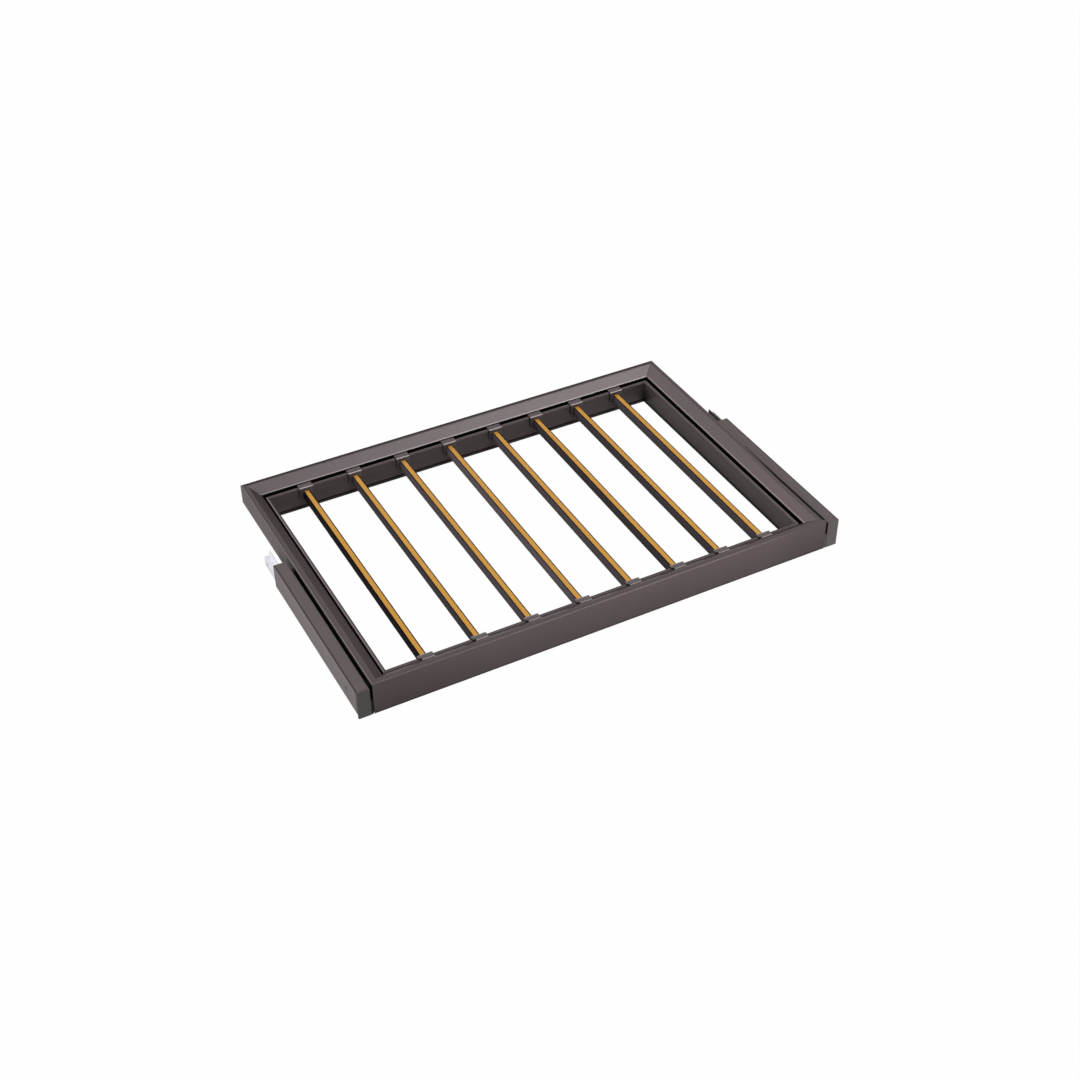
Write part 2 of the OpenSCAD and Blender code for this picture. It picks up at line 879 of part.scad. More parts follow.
// Block at the rear of a slide that stops the two moving members, with a peg in the web
module bumper(hand) {
    color(plastic)
        on_side(hand) {
            run(slide_end - bumper_t, slide_end)
                on_slide()
                translate([slide_sheet, -bumper_half_h])
                square([flange_reach - slide_sheet, 2 * bumper_half_h]);
            translate([-frame_w / 2 - slide_t, slide_end - bumper_t / 2 - frame_d / 2, slide_z])
                rotate([0, 90, 0])
                cylinder(h = 2 * slide_sheet, r = peg_r);
        }
}

front_rail();
rear_rail();
left_rail();
right_rail();
corner_keys();
corner_screws();
bar_screws();
slide_screws();
end_cap_screws();
slide_rivets();
for (i = numbers) {
    trouser_bar(i);
    grip_strip(i);
    front_holder(i);
    rear_holder(i);
}
for (h = hands) {
    inner_member(h);
    middle_member(h);
    outer_member(h);
    outer_cage(h);
    inner_cage(h);
    slide_bracket(h);
    cover(h);
    end_cap(h);
    bumper(h);
}
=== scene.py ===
"""Finishes, screws, light and camera for the pull-out trouser rack.

Sizes and places are in millimetres in the rack's own frame, unless a docstring says metres.
"""

import logging
import math
from dataclasses import dataclass, field
from enum import Enum
from functools import reduce
from itertools import product
from typing import Any, Iterable, Mapping, Union

import bmesh
import bpy
from mathutils import Matrix, Vector


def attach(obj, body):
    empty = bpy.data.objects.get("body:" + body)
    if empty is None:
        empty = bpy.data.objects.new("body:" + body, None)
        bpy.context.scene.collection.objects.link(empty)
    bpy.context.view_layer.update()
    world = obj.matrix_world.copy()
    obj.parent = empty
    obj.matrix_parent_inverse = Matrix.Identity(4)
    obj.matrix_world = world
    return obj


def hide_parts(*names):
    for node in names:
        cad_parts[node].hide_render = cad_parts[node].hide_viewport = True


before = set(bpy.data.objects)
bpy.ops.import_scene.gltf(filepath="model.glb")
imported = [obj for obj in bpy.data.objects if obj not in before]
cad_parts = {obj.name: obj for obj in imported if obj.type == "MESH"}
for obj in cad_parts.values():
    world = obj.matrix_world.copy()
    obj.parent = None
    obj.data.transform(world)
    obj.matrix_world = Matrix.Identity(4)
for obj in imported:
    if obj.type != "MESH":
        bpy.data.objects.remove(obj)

LOG = logging.getLogger("trouser_rack")
MM = 0.001
Triple = tuple[float, float, float]
Colour = Triple
Value = Union["Socket", float]
Covered = tuple[bpy.types.NodeSocket, Value]
WHITE: Colour = (1.0, 1.0, 1.0)
# Painted black, put where deep shade falls.
SHADE_BLACK: Colour = (0.002, 0.002, 0.002)


def node_box(name: str) -> tuple[Vector, Vector]:
    """Measures a CAD node.

    Args:
        name: The node's name.

    Returns:
        The lowest and the highest corner of its box.
    """
    points = [Vector(corner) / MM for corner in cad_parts[name].bound_box]
    return Vector(map(min, *points)), Vector(map(max, *points))


BAR_NUMBERS = range(1, 9)
HALF_WIDTH = node_box("right_rail")[1].x
HALF_DEPTH = node_box("rear_rail")[1].y


class Hand(Enum):
    """The two sides of the rack."""

    LEFT = "left"
    RIGHT = "right"


class Head(Enum):
    """The kinds of screw head on the rack."""

    COUNTERSUNK = "countersunk"
    PAN = "pan"


@dataclass(frozen=True)
class Socket:
    """A number socket of a material, which sums are written with."""

    graph: "Graph"
    link: bpy.types.NodeSocket

    def _sum(self, operation: str, first: Value, second: Value) -> "Socket":
        """Adds one Math node.

        Args:
            operation: The Math node's operation.
            first: The first number or socket.
            second: The second number or socket.

        Returns:
            The socket that holds the result.
        """
        node = self.graph.add("ShaderNodeMath", {"operation": operation}, {0: first, 1: second})
        return Socket(self.graph, node.outputs[0])

    def __add__(self, other: Value) -> "Socket":
        """Adds a number or socket."""
        return self._sum("ADD", self, other)

    def __radd__(self, other: Value) -> "Socket":
        """Adds this socket to a number."""
        return self._sum("ADD", other, self)

    def __sub__(self, other: Value) -> "Socket":
        """Takes a number or socket away."""
        return self._sum("SUBTRACT", self, other)

    def __rsub__(self, other: Value) -> "Socket":
        """Takes this socket away from a number."""
        return self._sum("SUBTRACT", other, self)

    def __mul__(self, other: Value) -> "Socket":
        """Multiplies by a number or socket."""
        return self._sum("MULTIPLY", self, other)

    def __rmul__(self, other: Value) -> "Socket":
        """Multiplies a number by this socket."""
        return self._sum("MULTIPLY", other, self)

    def __abs__(self) -> "Socket":
        """Gives the size without its sign."""
        return self._sum("ABSOLUTE", self, 0.0)

    def at_most(self, other: Value) -> "Socket":
        """Gives the smaller of this and another."""
        return self._sum("MINIMUM", self, other)

    def at_least(self, other: Value) -> "Socket":
        """Gives the larger of this and another."""
        return self._sum("MAXIMUM", self, other)

    def past(self, place: Value, soft: float = 0.15) -> "Socket":
        """Gives 0 before a place and 1 after it.

        Args:
            place: The middle of the step.
            soft: The width of the step.

        Returns:
            The step's socket.
        """
        return ((self - (place - soft / 2)) * (1.0 / soft)).at_least(0.0).at_most(1.0)


@dataclass(frozen=True)
class Step:
    """A soft step at one place of an axis."""

    place: float
    soft: float = 0.15
    strength: float = 1.0

    def after(self, axis: Socket) -> Socket:
        """Gives the strength past the step and 0 ahead of it."""
        return axis.past(self.place, self.soft) * self.strength

    def before(self, axis: Socket) -> Socket:
        """Gives the strength ahead of the step and 0 past it."""
        return (1.0 - axis.past(self.place, self.soft)) * self.strength


@dataclass(frozen=True)
class Strip:
    """A strip with soft sides between two places of an axis."""

    low: float
    high: float
    soft: float = 0.15
    strength: float = 1.0

    def inside(self, axis: Socket) -> Socket:
        """Gives the strength inside the strip and 0 outside it."""
        after_low = axis.past(self.low, self.soft)
        return after_low * (1.0 - axis.past(self.high, self.soft)) * self.strength


class Graph:
    """The nodes of one material or of the world."""

    def __init__(self, tree: bpy.types.NodeTree) -> None:
        """Empties a node tree.

        Args:
            tree: The tree that the nodes are added to.
        """
        self.tree = tree
        tree.nodes.clear()

    def add(
        self,
        kind: str,
        settings: Mapping[str, Any] | None = None,
        inputs: Mapping[int | str, Any] | None = None,
    ) -> bpy.types.Node:
        """Adds one node, sets it, then fills its sockets.

        Args:
            kind: Blender's name of the node type.
            settings: The node's own settings. A ramp takes its stops under "stops".
            inputs: A value, Socket or Blender socket for each input, by number or name.

        Returns:
            The new node.
        """
        node = self.tree.nodes.new(kind)
        for name, value in (settings or {}).items():
            if name == "stops":
                self._set_stops(node, value)
            else:
                setattr(node, name, value)
        for name, value in (inputs or {}).items():
            self._fill(node.inputs[name], value)
        return node

    def _set_stops(self, node: bpy.types.Node, stops: Iterable[tuple[float, Colour]]) -> None:
        """Sets the stops of a colour ramp.

        Args:
            node: The ramp.
            stops: The place and colour of each stop.
        """
        elements = node.color_ramp.elements
        while len(elements) > 1:
            elements.remove(elements[-1])
        for number, (place, colour) in enumerate(stops):
            stop = elements[0] if number == 0 else elements.new(place)
            stop.position = place
            stop.color = (*colour, 1.0)

    def _fill(self, target: bpy.types.NodeSocket, value: Any) -> None:
        """Links or sets one socket.

        Args:
            target: The input socket.
            value: A number, colour, vector, Socket or Blender socket.
        """
        if isinstance(value, Socket):
            self.tree.links.new(value.link, target)
        elif isinstance(value, bpy.types.NodeSocket):
            self.tree.links.new(value, target)
        elif target.type == "RGBA":
            target.default_value = (*value, 1.0)
        else:
            target.default_value = value

    def number(self, node: bpy.types.Node, output: int | str = 0) -> Socket:
        """Gives a node's number output for use in sums."""
        return Socket(self, node.outputs[output])

    def mix(self, factor: Value, first: Any, second: Any) -> bpy.types.NodeSocket:
        """Mixes two colours.

        Args:
            factor: 0 for the first colour, 1 for the second.
            first: The first colour or socket.
            second: The second colour or socket.

        Returns:
            The mixed colour's socket.
        """
        inputs = {0: factor, 6: first, 7: second}
        return self.add("ShaderNodeMix", {"data_type": "RGBA"}, inputs).outputs[2]


class Surface(Graph):
    """The nodes of one finish: places, noises, edges and the shader."""

    def __init__(self, name: str) -> None:
        """Makes the material.

        Args:
            name: The finish's name.
        """
        self.material = bpy.data.materials.new(name)
        self.material.use_nodes = True
        super().__init__(self.material.node_tree)
        self.place = self.add("ShaderNodeTexCoord").outputs["Object"]

    def axes(self) -> tuple[Socket, ...]:
        """Gives the place along X, Y and Z."""
        node = self.add("ShaderNodeSeparateXYZ", None, {0: self.place})
        return tuple(self.number(node, axis) * (1.0 / MM) for axis in range(3))

    def noise(
        self, size: float, detail: float = 2.0, scale: Triple | None = None, rough: float = 0.5
    ) -> Socket:
        """Adds a noise from 0 to 1.

        Args:
            size: The size of its patches.
            detail: How many finer layers it has.
            scale: How much it is squeezed along X, Y and Z.
            rough: The weight of the finer layers.

        Returns:
            The noise's socket.
        """
        place = self.place
        if scale:
            mapping = self.add("ShaderNodeMapping", None, {"Vector": place, "Scale": scale})
            place = mapping.outputs[0]
        inputs = {"Vector": place, "Scale": 1.0 / (size * MM), "Detail": detail, "Roughness": rough}
        return self.number(self.add("ShaderNodeTexNoise", None, inputs))

    def facing(self, axis: int) -> Socket:
        """Gives how far the surface faces along an axis: 0 for X, 1 for Y, 2 for Z."""
        flat = self.add("ShaderNodeNewGeometry").outputs["True Normal"]
        return self.number(self.add("ShaderNodeSeparateXYZ", None, {0: flat}), axis)

    def rounded_edges(self, radius: float) -> bpy.types.NodeSocket:
        """Gives the normal of a surface whose edges are rounded by a radius."""
        return self.add("ShaderNodeBevel", {"samples": 4}, {"Radius": radius * MM}).outputs[0]

    def near_edge(self, rounded: bpy.types.NodeSocket, gain: float = 4.0) -> Socket:
        """Gives a mask that is 1 on the edges.

        Args:
            rounded: The rounded normal.
            gain: How quickly the mask rises where the normal turns.

        Returns:
            The mask's socket.
        """
        flat = self.add("ShaderNodeNewGeometry").outputs["Normal"]
        turn = self.add("ShaderNodeVectorMath", {"operation": "DOT_PRODUCT"}, {0: rounded, 1: flat})
        return ((1.0 - self.number(turn, "Value")) * gain).at_most(1.0)

    def toned(self, colour: bpy.types.NodeSocket, tone: Value) -> bpy.types.NodeSocket:
        """Makes a colour lighter or darker by a factor or socket."""
        node = self.add("ShaderNodeVectorMath", {"operation": "SCALE"}, {0: colour, "Scale": tone})
        return node.outputs[0]

    def bump(
        self, height: Socket, depth: float, normal: bpy.types.NodeSocket
    ) -> bpy.types.NodeSocket:
        """Adds relief.

        Args:
            height: The relief's height from 0 to 1.
            depth: Its depth.
            normal: The normal under the relief.

        Returns:
            The normal's socket.
        """
        inputs = {"Strength": 1.0, "Distance": depth * MM, "Height": height, "Normal": normal}
        return self.add("ShaderNodeBump", None, inputs).outputs[0]

    def finish(self, inputs: Mapping[int | str, Any]) -> bpy.types.Material:
        """Adds the shader and the output.

        Args:
            inputs: The shader's sockets.

        Returns:
            The material.
        """
        shader = self.add("ShaderNodeBsdfPrincipled", None, inputs)
        self.add("ShaderNodeOutputMaterial", None, {"Surface": shader.outputs[0]})
        return self.material


@dataclass(frozen=True)
class Finish:
    """A finish with one main colour."""

    name: str
    colour: Colour

    def tinted(self, factor: float) -> Colour:
        """Gives the main colour, lighter or darker by a factor."""
        red, green, blue = (c * factor for c in self.colour)
        return red, green, blue


@dataclass(frozen=True)
class Coat(Finish):
    """A finish that a kind of piece may change along its own shape."""

    def covered(self, surface: Surface, shade: bpy.types.NodeSocket) -> Covered:
        """Lets a kind of piece change the colour along its own shape.

        Args:
            surface: The finish's nodes.
            shade: The colour so far.

        Returns:
            The colour, and how much of the finish's shine is left.
        """
        return shade, 1.0


@dataclass(frozen=True)
class PowderCoat(Coat):
    """Satin powder coat baked on aluminium: fine grain, soft mottling, painted edge highlights."""

    roughness: float = 0.36
    gloss: float = 0.05
    metal: float = 0.3
    gloss_tint: float = 0.35
    edge_radius: float = 0.45
    edge_highlight: float = 1.35
    relief_depth: float = 0.003

    def build(self) -> bpy.types.Material:
        """Makes the material.

        Returns:
            The material.
        """
        surface = Surface(self.name)
        cloud = surface.noise(size=70.0, detail=3.0)
        grain = surface.noise(size=0.9)
        speck = surface.noise(size=0.3, detail=1.0)
        rounded = surface.rounded_edges(self.edge_radius)
        edge = surface.near_edge(rounded)
        shade = surface.mix(cloud * 0.7 + grain * 0.3, self.tinted(0.93), self.tinted(1.07))
        # Painted highlight: edges are lightened where the rounded normal turns.
        shade = surface.mix(edge * 0.6, shade, self.tinted(self.edge_highlight))
        shade, shine = self.covered(surface, shade)
        return surface.finish(
            {
                "Base Color": shade,
                "Roughness": self.roughness + (cloud - 0.5) * 0.08 + (grain - 0.5) * 0.04,
                "Specular IOR Level": self.gloss,
                "Metallic": self.metal * shine,
                "Specular Tint": (self.gloss_tint,) * 3,
                "Normal": surface.bump(grain * 0.6 + speck * 0.4, self.relief_depth, rounded),
            }
        )


@dataclass(frozen=True)
class RailPlace:
    """Where a point of the frame lies: its axes, its distances inwards and its rail."""

    x: Socket
    y: Socket
    z: Socket
    across: Socket
    along: Socket
    inward: Socket
    left: Socket
    right: Socket
    front: Socket
    rear: Socket

    @classmethod
    def on(cls, surface: Surface, mitre_soft: float) -> "RailPlace":
        """Works out the masks of the four rails, which meet in mitres.

        Args:
            surface: The finish's nodes.
            mitre_soft: The width of the step at a mitre.

        Returns:
            The place.
        """
        x, y, z = surface.axes()
        across = HALF_WIDTH - abs(x)
        along = HALF_DEPTH - abs(y)
        side = (along - across).past(0.0, mitre_soft)
        return cls(
            x=x,
            y=y,
            z=z,
            across=across,
            along=along,
            inward=across.at_most(along),
            left=side * (1.0 - x.past(0.0)),
            right=side * x.past(0.0),
            front=(1.0 - side) * (1.0 - y.past(0.0)),
            rear=(1.0 - side) * y.past(0.0),
        )


@dataclass(frozen=True)
class RailCoat(PowderCoat):
    """The rail coat: painted highlights along rims, painted shade on slopes, walls and faces.

    Rims, slopes, walls and the groove are placed by their distance inwards from the outside.
    """

    mitre_soft: float = 0.3
    upper_faces: Step = Step(36.5)

    # Painted highlights along the rims; painted shade on the left lip's inner end and the front top
    # edge.
    slope_highlight: Strip = Strip(21.9, 23.4, 0.5, 1.1)
    lip_highlight: Strip = Strip(28.4, 30.4, 0.8)
    lip_light: float = 0.5
    left_lip_gain: float = 0.9
    left_lip_shade: Step = Step(30.8, 0.6, 0.4)
    band_highlight: Strip = Strip(7.2, 8.8, 0.6, 0.3)
    outer_highlight: Strip = Strip(0.5, 1.7, 0.4)
    outer_light: float = 0.5
    front_outer_loss: float = 0.4
    front_edge_top: Step = Step(51.0, 0.6)
    front_edge_width: Step = Step(1.2, 0.6)
    front_rim_shade: float = 0.1
    front_edge_right: Step = Step(260.0, 120.0, 0.4)

    # Painted light and shade on the slopes, the right crease and the rear rail's outer top edge.
    left_slope_shade: Strip = Strip(8.8, 23.5, 1.0, 0.22)
    right_slope_light: Strip = Strip(8.0, 23.5, 1.0, 0.2)
    right_slope_fade: Step = Step(-20.0, 240.0)
    right_crease_shade: Strip = Strip(8.2, 9.8, 0.6, 0.4)
    front_slope_shade: Step = Step(9.0, 1.0, 0.22)
    # Painted sheen colour: the brightly lit rear slope is tinted greyer.
    rear_sheen_tint: Strip = Strip(8.4, 23.9, 0.4, 0.9)
    cool: Colour = (0.104, 0.0895, 0.093)
    rear_top: Step = Step(50.4)
    rear_edge_shade: Step = Step(5.0, 4.0, 0.72)
    rear_edge_shadow_line: Step = Step(2.8, 1.4, 0.85)

    # Painted shade on the inner walls, darkest in a line and a band at their foot.
    inner_wall: Step = Step(31.9, 0.6)
    inner_shade: float = 0.2
    rear_inner_shade: Step = Step(22.0, 30.0, 0.22)
    foot_shade_line: Strip = Strip(4.4, 6.4, 0.8)
    foot_line_dark: float = 0.6
    rear_foot_line_gain: float = 0.3
    foot: Step = Step(4.4, 0.8)
    foot_dark: float = 0.75
    rear_foot_loss: float = 0.35
    inner_darkest: float = 0.95

    # Painted shade on the front face: darker downwards and towards its ends.
    front_face: Step = Step(0.6)
    face_light_rise: Step = Step(24.0, 44.0, 0.26)
    face_low_shade: float = 0.14
    face_left_shade: Step = Step(-250.0, 160.0, 0.2)
    face_right_shade: Step = Step(290.0, 60.0, 0.12)
    face_foot_shade: Step = Step(3.0, 1.6, 0.2)

    # Painted black shade in the groove, on the outer wall behind each cover, along the right
    # cover's gap.
    groove_start: float = 23.95
    groove_end: Step = Step(28.1, 0.3)
    groove_top: float = 39.1
    far_groove_shift: float = 0.75
    far_groove_rise: float = 1.2
    gap_fade: Step = Step(-62.0, 120.0)
    gap_width: float = 5.0
    gap_soft: float = 0.6
    gap_top: Step = Step(49.0)
    outer_side: Step = Step(0.4)
    cover_end: Step = Step(60.0, 12.0)
    cover_edge: Step = Step(50.6, 0.6)

    def covered(self, surface: Surface, shade: bpy.types.NodeSocket) -> Covered:
        """Draws the painted highlights and painted shade of a rail, and its groove in black shade.

        Args:
            surface: The finish's nodes.
            shade: The colour so far.

        Returns:
            The colour, and how much of the coat's metal shine is left.
        """
        at = RailPlace.on(surface, self.mitre_soft)
        tone = self._rims(at) * self._slopes(at) * self._inner_wall(at) * self._front_face(at)
        black_shade = self._painted_black(at)
        # Painted sheen colour on the brightly lit rear slope.
        cool = self.rear_sheen_tint.inside(at.inward) * at.rear
        shade = surface.toned(surface.mix(cool, shade, self.cool), tone)
        return surface.mix(black_shade, shade, SHADE_BLACK), 1.0 - black_shade

    def _rims(self, at: RailPlace) -> Socket:
        """Gives the painted rim highlights, less painted shade on the left lip and the front edge.

        Args:
            at: The place.

        Returns:
            The tone, 1 away from the rims.
        """
        slope_highlight = self.slope_highlight.inside(at.inward) * (at.right + at.rear)
        lip_highlight = self.lip_highlight.inside(at.inward) * (at.left * self.left_lip_gain + self.lip_light)
        lip_end_shade = self.left_lip_shade.after(at.inward) * at.left
        outer_light = self.outer_light - at.front * self.front_outer_loss
        outer_highlight = self.outer_highlight.inside(at.inward) * outer_light
        edge = self.front_edge_top.after(at.z) * self.front_edge_width.before(at.inward) * at.front
        edge = edge * (self.front_edge_right.after(at.x) + self.front_rim_shade)
        rims = slope_highlight + lip_highlight + self.band_highlight.inside(at.inward) + outer_highlight - lip_end_shade - edge
        return rims * self.upper_faces.after(at.z) + 1.0

    def _slopes(self, at: RailPlace) -> Socket:
        """Gives the painted light and shade on the sloping faces and the rear rail's outer edge.

        Args:
            at: The place.

        Returns:
            The tone.
        """
        left = 1.0 - self.left_slope_shade.inside(at.inward) * at.left
        light = self.right_slope_light.inside(at.inward) * self.right_slope_fade.before(at.y)
        crease = self.right_crease_shade.inside(at.inward) * self.gap_fade.before(at.y)
        right = (1.0 + light * at.right) * (1.0 - crease * at.right)
        front = self.front_slope_shade.after(at.inward) * self.upper_faces.after(at.z)
        rear = self.rear_edge_shade.before(at.along) * self.rear_top.after(at.z)
        return left * right * (1.0 - front * at.front) * (1.0 - rear * at.rear)

    def _inner_wall(self, at: RailPlace) -> Socket:
        """Gives the painted shade on the inner walls, darkest in a line and a band at their foot.

        Args:
            at: The place.

        Returns:
            The tone.
        """
        shade = self.rear_inner_shade.after(at.z) * at.rear + self.inner_shade
        line_dark = at.rear * self.rear_foot_line_gain + self.foot_line_dark
        line = self.foot_shade_line.inside(at.z) * line_dark
        foot = self.foot.before(at.z) * (self.foot_dark - at.rear * self.rear_foot_loss)
        dark = (shade + line + foot).at_most(self.inner_darkest)
        return 1.0 - self.inner_wall.after(at.inward) * dark

    def _front_face(self, at: RailPlace) -> Socket:
        """Gives the painted shade on the front face: darker downwards and towards its ends.

        Args:
            at: The place.

        Returns:
            The tone.
        """
        face = self.front_face.before(at.along) * at.front
        rise = self.face_light_rise.after(at.z) - self.face_low_shade
        ends = self.face_left_shade.before(at.x) + self.face_right_shade.after(at.x)
        return 1.0 + face * (rise - ends - self.face_foot_shade.before(at.z))

    def _painted_black(self, at: RailPlace) -> Socket:
        """Gives 1 where black shade is painted: groove, behind a cover, its gap, the rear top edge.

        Args:
            at: The place.

        Returns:
            The mask.
        """
        far = at.right + at.rear
        start = self.groove_start - far * self.far_groove_shift
        groove = at.inward.past(start, self.groove_end.soft) * self.groove_end.before(at.inward)
        depth = 1.0 - at.z.past(far * self.far_groove_rise + self.groove_top)
        groove = groove * depth * (1.0 - at.front)
        shade_behind_cover = self.outer_side.before(at.across) * self.cover_end.before(at.y)
        shade_behind_cover = shade_behind_cover * self.cover_edge.before(at.z)
        gap_width = self.gap_fade.before(at.y) * self.gap_width
        gap_shadow_line = 1.0 - (at.across - gap_width).past(0.0, self.gap_soft)
        gap_shadow_line = gap_shadow_line * at.right * self.gap_top.after(at.z)
        rear_shadow_line = self.rear_edge_shadow_line.before(at.along) * self.rear_top.after(at.z) * at.rear
        return (groove + shade_behind_cover + gap_shadow_line + rear_shadow_line).at_most(1.0)


@dataclass(frozen=True)
class CoverCoat(PowderCoat):
    """The coat on the slide covers: a painted fold highlight, a fine painted shade line above it.

    The lines are placed by their distance inwards, downwards and forwards from a cover's box.
    """

    box: tuple[Vector, Vector] = field(default_factory=lambda: node_box("right_cover"))
    wall: Step = Step(0.4)
    # Painted light and shade: the outer wall lighter upwards, darker low down, and a fold
    # highlight.
    wall_light_rise: Step = Step(24.0, 36.0, 0.2)
    wall_low_shade: float = 0.1
    fold: Strip = Strip(0.9, 3.4, 1.4, 0.2)
    edge_width: Step = Step(2.4, 0.5)
    top_face: Step = Step(0.3)
    cover_line_shade: float = 0.6
    edge_dull: float = 0.4
    rear_end: Step = Step(3.9, 1.0)
    end_dark: float = 0.85
    end_dull: float = 0.9

    def covered(self, surface: Surface, shade: bpy.types.NodeSocket) -> Covered:
        """Paints a highlight along a cover's upper fold and shade lines above it and at its rear
        end.

        Args:
            surface: The finish's nodes.
            shade: The colour so far.

        Returns:
            The colour, and how much of the coat's metal shine is left.
        """
        x, y, z = surface.axes()
        outer, rear, top = self.box[1]
        inwards, forwards, below = outer - abs(x), rear - y, top - z
        wall = self.wall.before(inwards)
        tone = 1.0 + wall * (self.wall_light_rise.after(z) - self.wall_low_shade + self.fold.inside(below))
        # Painted shade line along the cover top's outer edge; painted shade at the rear end.
        line = self.edge_width.before(inwards) * self.top_face.before(below)
        end = wall * self.rear_end.before(forwards)
        tone = tone * (1.0 - line * self.cover_line_shade) * (1.0 - end * self.end_dark)
        return surface.toned(shade, tone), 1.0 - end * self.end_dull - line * self.edge_dull


@dataclass(frozen=True)
class HolderCoat(PowderCoat):
    """Holder coat: painted rim highlights, painted shade on the upright and notch, dark end faces.

    Rims and plate are placed by their distance inwards from the frame's outside.
    """

    top: Step = Step(38.2)
    # Painted highlights along the top rims, painted shade on the upright plate.
    inner_highlight: Strip = Strip(33.6, 35.2, 0.4)
    outer_highlight: Strip = Strip(24.2, 25.8, 0.4)
    rim_light: float = 2.6
    upright: Step = Step(35.2, 0.1)
    upright_shade: float = 0.55
    across_facing: Step = Step(0.8, 0.2)
    notch_length: Step = Step(3.6, 0.4)
    notch_depth: Step = Step(28.4, 0.4)
    end_dark: float = 0.03

    def _from_left_end(self, x: Socket) -> Socket:
        """Gives the distance to the nearest left end of a holder."""
        ends = [node_box(f"front_holder_{number}")[0].x for number in BAR_NUMBERS]
        return reduce(Socket.at_most, [abs(x - end) for end in ends])

    def covered(self, surface: Surface, shade: bpy.types.NodeSocket) -> Covered:
        """Paints rim highlights and shade on the upright and the notch, and darkens a holder's
        ends.

        Args:
            surface: The finish's nodes.
            shade: The colour so far.

        Returns:
            The colour, and how much of the coat's metal shine is left.
        """
        x, y, z = surface.axes()
        inward = HALF_DEPTH - abs(y)
        front = 1.0 - y.past(0.0)
        top = self.top.after(z)
        rims = (self.inner_highlight.inside(inward) + self.outer_highlight.inside(inward) * front).at_most(1.0)
        shade = surface.mix(rims * top, shade, self.tinted(self.rim_light))
        upright = self.upright.after(inward) * (1.0 - top)
        shade = surface.mix(upright, shade, self.tinted(self.upright_shade))
        # Painted shade: a notch at each front holder's left end, where its top plate shades the
        # groove.
        notch = self.notch_length.before(self._from_left_end(x)) * self.notch_depth.before(inward)
        dark = self.across_facing.after(abs(surface.facing(0))).at_least(notch * front)
        return surface.mix(dark, shade, self.tinted(self.end_dark)), 1.0 - dark


@dataclass(frozen=True)
class BarCoat(Finish):
    """Dark satin coat of the drawn bars, with faint die lines along them.

    Painted light is listed by bar number from the left; bars between two listed ones lie between.
    """

    upper: Colour = (0.13, 0.105, 0.14)
    upper_part: Step = Step(27.0, 5.0, 0.8)
    channel: Step = Step(31.5, 0.3)
    channel_dark: float = 0.3
    reach: float = 300.0
    # Painted light and shade: bars lighter or darker across the rack as the lamps fall on them.
    light_tones: tuple[tuple[int, float], ...] = ((1, 0.13), (2, 0.52), (4, 1.0), (6, 0.42), (8, 0.7))
    roughness: float = 0.5
    gloss: float = 0.002
    edge_radius: float = 0.3
    relief_depth: float = 0.006

    def _painted_light(self, surface: Surface, x: Socket) -> Socket:
        """Gives each bar's painted light and shade by a ramp across the rack.

        Args:
            surface: The finish's nodes.
            x: The place across.

        Returns:
            The tone.
        """
        scale = 0.5 / self.reach
        stops = []
        for number, tone in self.light_tones:
            low, high = node_box(f"trouser_bar_{number}")
            stops.append((0.5 + (low.x + high.x) / 2 * scale, (tone,) * 3))
        ramp = surface.add("ShaderNodeValToRGB", {"stops": stops}, {0: x * scale + 0.5})
        return surface.number(ramp)

    def build(self) -> bpy.types.Material:
        """Makes the material.

        Returns:
            The material.
        """
        surface = Surface(self.name)
        lines = surface.noise(size=0.5, scale=(1.0, 0.004, 1.0))
        cloud = surface.noise(size=50.0)
        grain = surface.noise(size=0.4)
        rounded = surface.rounded_edges(self.edge_radius)
        x, _, z = surface.axes()
        shade = surface.mix(lines * 0.5 + cloud * 0.5, self.tinted(0.9), self.tinted(1.1))
        shade = surface.mix(self.upper_part.after(z), shade, self.upper)
        shade = surface.mix(self.channel.after(z), shade, self.tinted(self.channel_dark))
        return surface.finish(
            {
                "Base Color": surface.toned(shade, self._painted_light(surface, x)),
                "Roughness": self.roughness + (lines - 0.5) * 0.12 + (grain - 0.5) * 0.05,
                "Specular IOR Level": self.gloss,
                "Normal": surface.bump(lines * 0.6 + grain * 0.4, self.relief_depth, rounded),
            }
        )


@dataclass(frozen=True)
class GripRubber(Finish):
    """Soft amber strip that keeps trousers from slipping."""

    shade: Colour
    roughness: float = 0.4
    gloss: float = 0.25
    edge_radius: float = 1.2
    relief_depth: float = 0.006

    def build(self) -> bpy.types.Material:
        """Makes the material.

        Returns:
            The material.
        """
        surface = Surface(self.name)
        flow = surface.noise(size=3.0, detail=3.0, scale=(1.0, 0.05, 1.0))
        cloud = surface.noise(size=90.0)
        grain = surface.noise(size=0.35)
        rounded = surface.rounded_edges(self.edge_radius)
        return surface.finish(
            {
                "Base Color": surface.mix(flow * 0.45 + cloud * 0.55, self.shade, self.colour),
                "Roughness": self.roughness + (grain - 0.5) * 0.1,
                "Specular IOR Level": self.gloss,
                "Normal": surface.bump(grain * 0.7 + flow * 0.3, self.relief_depth, rounded),
            }
        )


